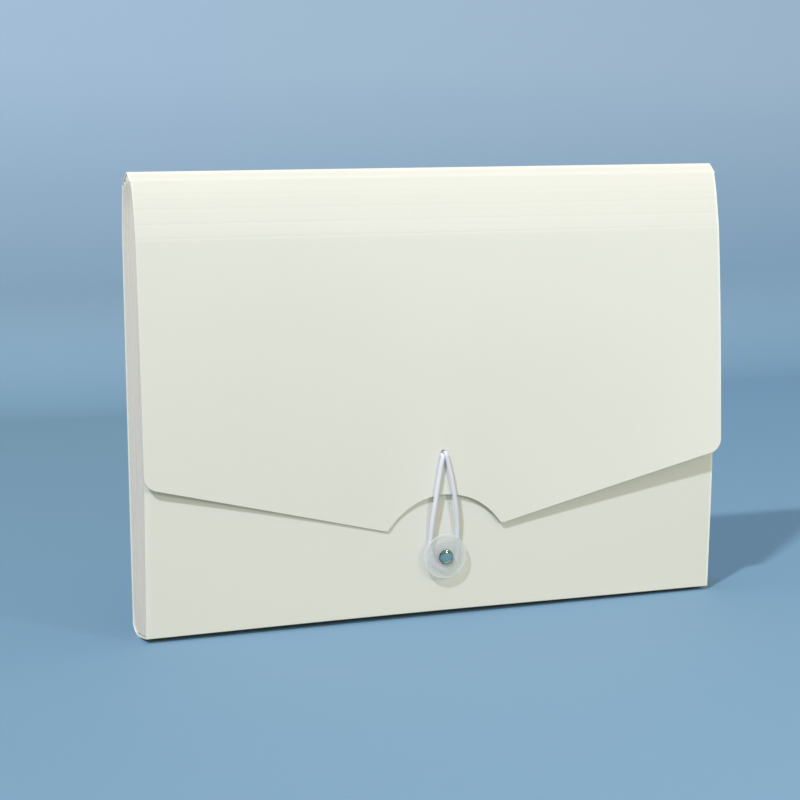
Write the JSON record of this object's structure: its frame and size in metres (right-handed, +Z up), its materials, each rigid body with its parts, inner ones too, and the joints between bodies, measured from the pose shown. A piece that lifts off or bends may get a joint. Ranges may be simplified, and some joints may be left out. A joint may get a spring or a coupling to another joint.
{
  "type": "expanding file folder",
  "caption": "Free-standing expanding file folder with a fold-over flap, pleated side gussets, index-tabbed dividers and a button closed by an elastic loop.",
  "frame": {"origin": "middle of the folder's footprint, on the surface it stands on", "axes": "+X along the folder's width, +Y towards the back cover, +Z up; the flap and the button face -Y"},
  "size_m": [0.334, 0.0371, 0.2433],
  "materials": {
    "cover_sheet": "cream polypropylene sheet, fine satin grain",
    "gusset_film": "pale grey translucent polypropylene film, satin",
    "divider_sheet": "frosted polypropylene, satin",
    "tab_label": "plain white label stock, matt",
    "button_plastic": "clear to milky moulded plastic, polished",
    "rivet_metal": "bright nickel plate",
    "end_tag": "white moulded plastic",
    "elastic_cord": "white braided elastic, soft sheen"
  },
  "bodies": {
    "pocket_block": {"back_cover": "cover_sheet", "base_panel": "cover_sheet", "bottom_gusset": "gusset_film", "left_gusset": "gusset_film", "right_gusset": "gusset_film"},
    "rear_roof": {"rear_roof_panel": "cover_sheet"},
    "front_roof": {"front_roof_panel": "cover_sheet"},
    "flap": {"flap": "cover_sheet", "elastic_loop": "elastic_cord", "elastic_tag": "end_tag"},
    "front_cover": {"front_cover": "cover_sheet", "button_spacer": "button_plastic", "rivet": "rivet_metal", "rivet_washer": "rivet_metal"},
    "button": {"button_disc": "button_plastic"},
    "divider_01": {"divider_01": "divider_sheet", "tab_label_01": "tab_label"},
    "divider_02": {"divider_02": "divider_sheet", "tab_label_02": "tab_label"},
    "divider_03": {"divider_03": "divider_sheet", "tab_label_03": "tab_label"},
    "divider_04": {"divider_04": "divider_sheet", "tab_label_04": "tab_label"},
    "divider_05": {"divider_05": "divider_sheet", "tab_label_05": "tab_label"},
    "divider_06": {"divider_06": "divider_sheet", "tab_label_06": "tab_label"},
    "divider_07": {"divider_07": "divider_sheet", "tab_label_07": "tab_label"},
    "divider_08": {"divider_08": "divider_sheet", "tab_label_08": "tab_label"},
    "divider_09": {"divider_09": "divider_sheet", "tab_label_09": "tab_label"},
    "divider_10": {"divider_10": "divider_sheet", "tab_label_10": "tab_label"},
    "divider_11": {"divider_11": "divider_sheet", "tab_label_11": "tab_label"},
    "divider_12": {"divider_12": "divider_sheet", "tab_label_12": "tab_label"}
  },
  "joints": [
    {"name": "flap_lift", "type": "hinge", "parent": "pocket_block", "child": "rear_roof", "pos_m": [0, 0.01452, 0.2363], "axis": [-1, 0, 0], "range_deg": [0, 124]},
    {"name": "ridge_fold", "type": "hinge", "parent": "rear_roof", "child": "front_roof", "pos_m": [0, -0.0004, 0.2431], "axis": [-1, 0, 0], "range_deg": [0, 133.9]},
    {"name": "flap_fold", "type": "hinge", "parent": "front_roof", "child": "flap", "pos_m": [0, -0.00674, 0.23891], "axis": [-1, 0, 0], "range_deg": [0, 96.8], "deforming": ["elastic_loop"]},
    {"name": "front_cover_open", "type": "hinge", "parent": "pocket_block", "child": "front_cover", "pos_m": [0, -0.0076, 0.002], "axis": [1, 0, 0], "range_deg": [0, 28], "deforming": ["left_gusset", "right_gusset"]},
    {"name": "button_spin", "type": "hinge", "parent": "front_cover", "child": "button", "pos_m": [0, -0.01009, 0.03437], "axis": [0, -0.9979, -0.0644], "continuous": true},
    {"name": "divider_01_fan", "type": "hinge", "parent": "pocket_block", "child": "divider_01", "pos_m": [0, 0.01592, 0.0042], "axis": [1, 0, 0], "range_deg": [0, 0.453]},
    {"name": "divider_02_fan", "type": "hinge", "parent": "pocket_block", "child": "divider_02", "pos_m": [0, 0.01403, 0.0042], "axis": [1, 0, 0], "range_deg": [0, 1.72]},
    {"name": "divider_03_fan", "type": "hinge", "parent": "pocket_block", "child": "divider_03", "pos_m": [0, 0.01215, 0.0042], "axis": [1, 0, 0], "range_deg": [0, 3.65]},
    {"name": "divider_04_fan", "type": "hinge", "parent": "pocket_block", "child": "divider_04", "pos_m": [0, 0.01027, 0.0042], "axis": [1, 0, 0], "range_deg": [0, 6.09]},
    {"name": "divider_05_fan", "type": "hinge", "parent": "pocket_block", "child": "divider_05", "pos_m": [0, 0.00838, 0.0042], "axis": [1, 0, 0], "range_deg": [0, 8.93]},
    {"name": "divider_06_fan", "type": "hinge", "parent": "pocket_block", "child": "divider_06", "pos_m": [0, 0.0065, 0.0042], "axis": [1, 0, 0], "range_deg": [0, 11.99]},
    {"name": "divider_07_fan", "type": "hinge", "parent": "pocket_block", "child": "divider_07", "pos_m": [0, 0.00462, 0.0042], "axis": [1, 0, 0], "range_deg": [0, 15.15]},
    {"name": "divider_08_fan", "type": "hinge", "parent": "pocket_block", "child": "divider_08", "pos_m": [0, 0.00273, 0.0042], "axis": [1, 0, 0], "range_deg": [0, 18.25]},
    {"name": "divider_09_fan", "type": "hinge", "parent": "pocket_block", "child": "divider_09", "pos_m": [0, 0.00085, 0.0042], "axis": [1, 0, 0], "range_deg": [0, 21.16]},
    {"name": "divider_10_fan", "type": "hinge", "parent": "pocket_block", "child": "divider_10", "pos_m": [0, -0.00103, 0.0042], "axis": [1, 0, 0], "range_deg": [0, 23.73]},
    {"name": "divider_11_fan", "type": "hinge", "parent": "pocket_block", "child": "divider_11", "pos_m": [0, -0.00292, 0.0042], "axis": [1, 0, 0], "range_deg": [0, 25.82]},
    {"name": "divider_12_fan", "type": "hinge", "parent": "pocket_block", "child": "divider_12", "pos_m": [0, -0.0048, 0.0042], "axis": [1, 0, 0], "range_deg": [0, 27.28]}
  ],
  "couplings": [
    {"joint": "ridge_fold", "follows": "flap_lift", "ratio": 1.0484},
    {"joint": "flap_fold", "follows": "flap_lift", "ratio": 0.75806},
    {"joint": "front_cover_open", "follows": "flap_lift", "ratio": 0.22581},
    {"joint": "divider_01_fan", "follows": "flap_lift", "ratio": 0.0036532},
    {"joint": "divider_02_fan", "follows": "flap_lift", "ratio": 0.013831},
    {"joint": "divider_03_fan", "follows": "flap_lift", "ratio": 0.029387},
    {"joint": "divider_04_fan", "follows": "flap_lift", "ratio": 0.049153},
    {"joint": "divider_05_fan", "follows": "flap_lift", "ratio": 0.071976},
    {"joint": "divider_06_fan", "follows": "flap_lift", "ratio": 0.096694},
    {"joint": "divider_07_fan", "follows": "flap_lift", "ratio": 0.12215},
    {"joint": "divider_08_fan", "follows": "flap_lift", "ratio": 0.14719},
    {"joint": "divider_09_fan", "follows": "flap_lift", "ratio": 0.17065},
    {"joint": "divider_10_fan", "follows": "flap_lift", "ratio": 0.19137},
    {"joint": "divider_11_fan", "follows": "flap_lift", "ratio": 0.20819},
    {"joint": "divider_12_fan", "follows": "flap_lift", "ratio": 0.21996}
  ]
}
